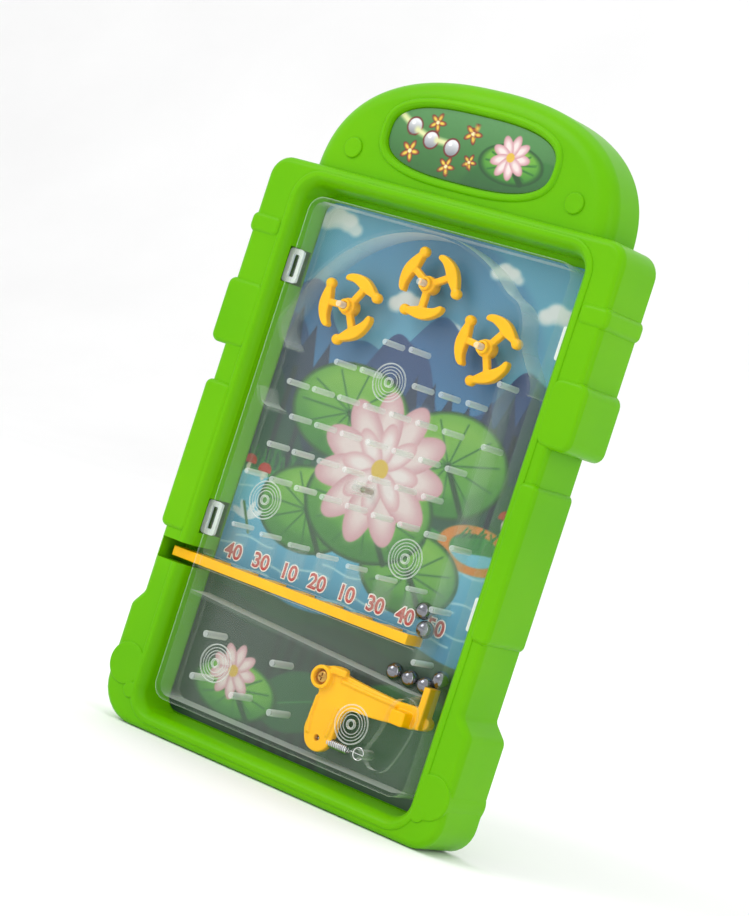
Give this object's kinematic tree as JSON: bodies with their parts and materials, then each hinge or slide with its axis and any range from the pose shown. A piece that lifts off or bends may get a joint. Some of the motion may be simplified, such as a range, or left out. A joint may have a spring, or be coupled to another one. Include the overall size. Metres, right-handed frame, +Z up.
{
  "type": "handheld pachinko game",
  "caption": "Handheld upright ball game: green domed case, clear play box with pegs, guides and score pockets, spinners, sliding gate bar, sprung launch lever and steel balls.",
  "frame": {"origin": "bottom centre of the bounding box: the middle of the foot that the case stands on", "axes": "+X to the player's right, +Y from the front to the back, +Z up; the clear window faces -Y"},
  "size_m": [0.1602, 0.026, 0.256],
  "materials": {
    "case_green": "satin moulded lime-green plastic",
    "yellow_plastic": "glossy moulded yellow plastic",
    "clear_plastic": "clear polished polystyrene",
    "printed_card": "printed and varnished card",
    "printed_label": "printed gloss label",
    "ball_steel": "polished bearing-ball steel",
    "spring_steel": "bright spring wire",
    "screw_zinc": "zinc-plated self-tapping screw"
  },
  "bodies": {
    "case": {"front_shell": "case_green", "back_cover": "case_green", "marquee_label": "printed_label", "play_cover": "clear_plastic", "play_tray": "clear_plastic", "play_card": "printed_card", "play_base": "case_green", "launch_spring": "spring_steel", "pivot_screw": "screw_zinc", "centre_screw": "screw_zinc", "case_screw_1": "screw_zinc", "case_screw_2": "screw_zinc", "case_screw_3": "screw_zinc", "case_screw_4": "screw_zinc", "case_screw_5": "screw_zinc", "case_screw_6": "screw_zinc", "case_screw_7": "screw_zinc", "case_screw_8": "screw_zinc"},
    "spinner_left": {"spinner_left": "yellow_plastic"},
    "spinner_middle": {"spinner_middle": "yellow_plastic"},
    "spinner_right": {"spinner_right": "yellow_plastic"},
    "gate_bar": {"gate_bar": "yellow_plastic"},
    "launch_lever": {"launch_lever": "yellow_plastic"},
    "ball_1": {"ball_1": "ball_steel"},
    "ball_2": {"ball_2": "ball_steel"},
    "ball_3": {"ball_3": "ball_steel"},
    "ball_4": {"ball_4": "ball_steel"},
    "ball_5": {"ball_5": "ball_steel"},
    "ball_6": {"ball_6": "ball_steel"}
  },
  "joints": [
    {"name": "spinner_left_turn", "type": "hinge", "parent": "case", "child": "spinner_left", "pos_m": [-0.0324, -0.003, 0.1683], "axis": [0, 1, 0], "continuous": true},
    {"name": "spinner_middle_turn", "type": "hinge", "parent": "case", "child": "spinner_middle", "pos_m": [-0.002, -0.003, 0.1837], "axis": [0, 1, 0], "continuous": true},
    {"name": "spinner_right_turn", "type": "hinge", "parent": "case", "child": "spinner_right", "pos_m": [0.0291, -0.003, 0.1681], "axis": [0, 1, 0], "continuous": true},
    {"name": "gate_bar_slide", "type": "slide", "parent": "case", "child": "gate_bar", "axis": [1, 0, 0], "range_m": [-0.0032, 0]},
    {"name": "launch_lever_pull", "type": "hinge", "parent": "case", "child": "launch_lever", "pos_m": [0.0097, -0.0055, 0.0421], "axis": [0, 1, 0], "range_deg": [0, 24], "stiffness_Nm_per_rad": 0.15, "springref_deg": -8.59, "deforming": ["launch_spring"]},
    {"name": "ball_1_launch", "type": "slide", "parent": "case", "child": "ball_1", "axis": [0, 0, 1], "range_m": [0, 0.096]},
    {"name": "ball_2_roll", "type": "slide", "parent": "case", "child": "ball_2", "axis": [-0.9985, 0, 0.0556], "range_m": [0, 0.082]},
    {"name": "ball_3_roll", "type": "slide", "parent": "case", "child": "ball_3", "axis": [-0.9985, 0, 0.0556], "range_m": [0, 0.082]},
    {"name": "ball_4_roll", "type": "slide", "parent": "case", "child": "ball_4", "axis": [-0.9985, 0, 0.0556], "range_m": [0, 0.082]},
    {"name": "ball_5_hop", "type": "slide", "parent": "case", "child": "ball_5", "axis": [0, 0, 1], "range_m": [0, 0.022]},
    {"name": "ball_6_hop", "type": "slide", "parent": "case", "child": "ball_6", "axis": [0, 0, 1], "range_m": [0, 0.022]}
  ],
  "couplings": [
    {"joint": "ball_3_roll", "follows": "ball_2_roll", "ratio": 1},
    {"joint": "ball_4_roll", "follows": "ball_2_roll", "ratio": 1},
    {"joint": "ball_6_hop", "follows": "ball_5_hop", "ratio": 1}
  ]
}
